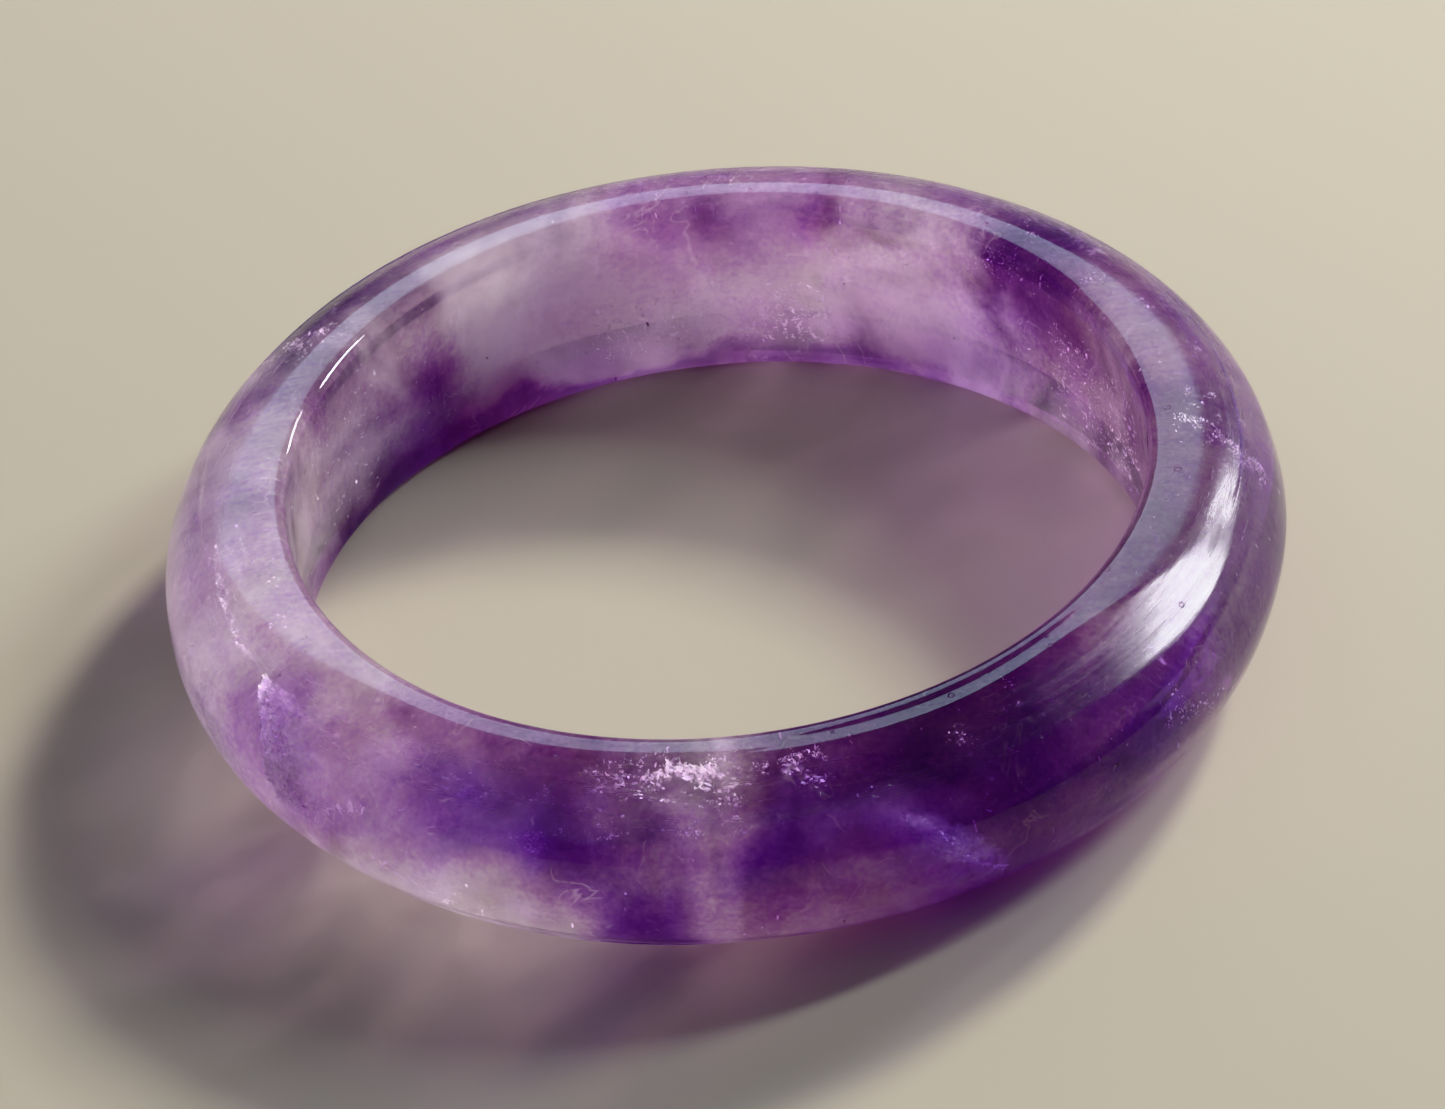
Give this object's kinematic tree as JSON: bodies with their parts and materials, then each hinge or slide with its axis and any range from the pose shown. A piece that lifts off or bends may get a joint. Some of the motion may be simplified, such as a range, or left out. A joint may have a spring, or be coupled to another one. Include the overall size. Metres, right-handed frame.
{
  "type": "bangle bracelet",
  "caption": "Rigid round bangle cut from a single piece of translucent purple quartz, with a straight inner wall, flat rims and a rounded outer face. Slips over the hand, no clasp.",
  "frame": {"origin": "centre of the ring's lower face, on the ring's axis, level with the flat ring it rests on", "axes": "+Z along the ring's axis, up from the surface it lies on; +X and +Y across the ring"},
  "size_m": [0.0744, 0.0744, 0.0143],
  "materials": {
    "amethyst": "polished, translucent"
  },
  "bodies": {
    "root": {"bangle_ring": "amethyst"}
  },
  "joints": []
}
